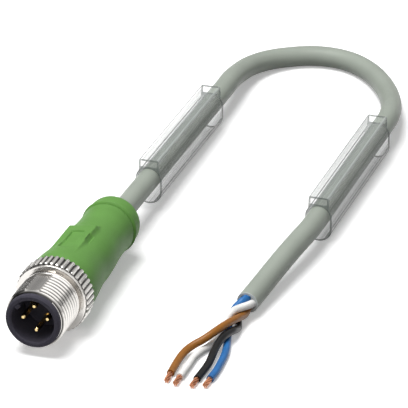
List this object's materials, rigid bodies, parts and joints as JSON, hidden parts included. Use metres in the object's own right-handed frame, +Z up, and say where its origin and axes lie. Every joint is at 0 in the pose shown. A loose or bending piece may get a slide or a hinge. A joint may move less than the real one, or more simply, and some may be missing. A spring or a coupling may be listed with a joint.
{
  "type": "circular connector plug",
  "caption": "Circular plug with a knurled coupling nut and a moulded grip on a sensor cable that carries marker sleeves and ends in stripped wires.",
  "frame": {"origin": "under the middle of the plug's length, on the surface that its nut stands on", "axes": "+Z up; +Y along the plug's axis from its contacts to its cable; +X from the plug to the cable's stripped end"},
  "size_m": [0.0465, 0.1514, 0.0148],
  "materials": {
    "carrier_plastic": "satin",
    "contact_gold": "gold plated",
    "nut_metal": "bright nickel plating",
    "ring_rubber": "matt",
    "moulding_plastic": "satin",
    "grip_plastic": "satin",
    "jacket_plastic": "satin",
    "wire_brown": "gloss",
    "wire_white": "gloss",
    "wire_blue": "gloss",
    "wire_black": "gloss",
    "strand_copper": "bare copper",
    "sleeve_clear": "clear"
  },
  "bodies": {
    "connector": {"contact_carrier": "carrier_plastic", "contact_pin_1": "contact_gold", "contact_pin_2": "contact_gold", "contact_pin_3": "contact_gold", "contact_pin_4": "contact_gold", "friction_ring": "ring_rubber", "inner_moulding": "moulding_plastic", "grip_body": "grip_plastic", "cable_jacket": "jacket_plastic", "wire_brown": "wire_brown", "wire_white": "wire_white", "wire_blue": "wire_blue", "wire_black": "wire_black", "strands_brown": "strand_copper", "strands_white": "strand_copper", "strands_blue": "strand_copper", "strands_black": "strand_copper"},
    "nut": {"coupling_nut": "nut_metal"},
    "sleeve_1": {"marker_sleeve_1": "sleeve_clear"},
    "sleeve_2": {"marker_sleeve_2": "sleeve_clear"}
  },
  "joints": [
    {"name": "nut_turn", "type": "hinge", "parent": "connector", "child": "nut", "pos_m": [0, -0.012, 0.0074], "axis": [0, 1, 0], "continuous": true},
    {"name": "sleeve_1_slide", "type": "slide", "parent": "connector", "child": "sleeve_1", "axis": [-0.015, 0.9994, -0.03], "range_m": [-0.019, 0.008]},
    {"name": "sleeve_2_slide", "type": "slide", "parent": "connector", "child": "sleeve_2", "axis": [0, 1, 0], "range_m": [-0.004, 0.006]}
  ]
}
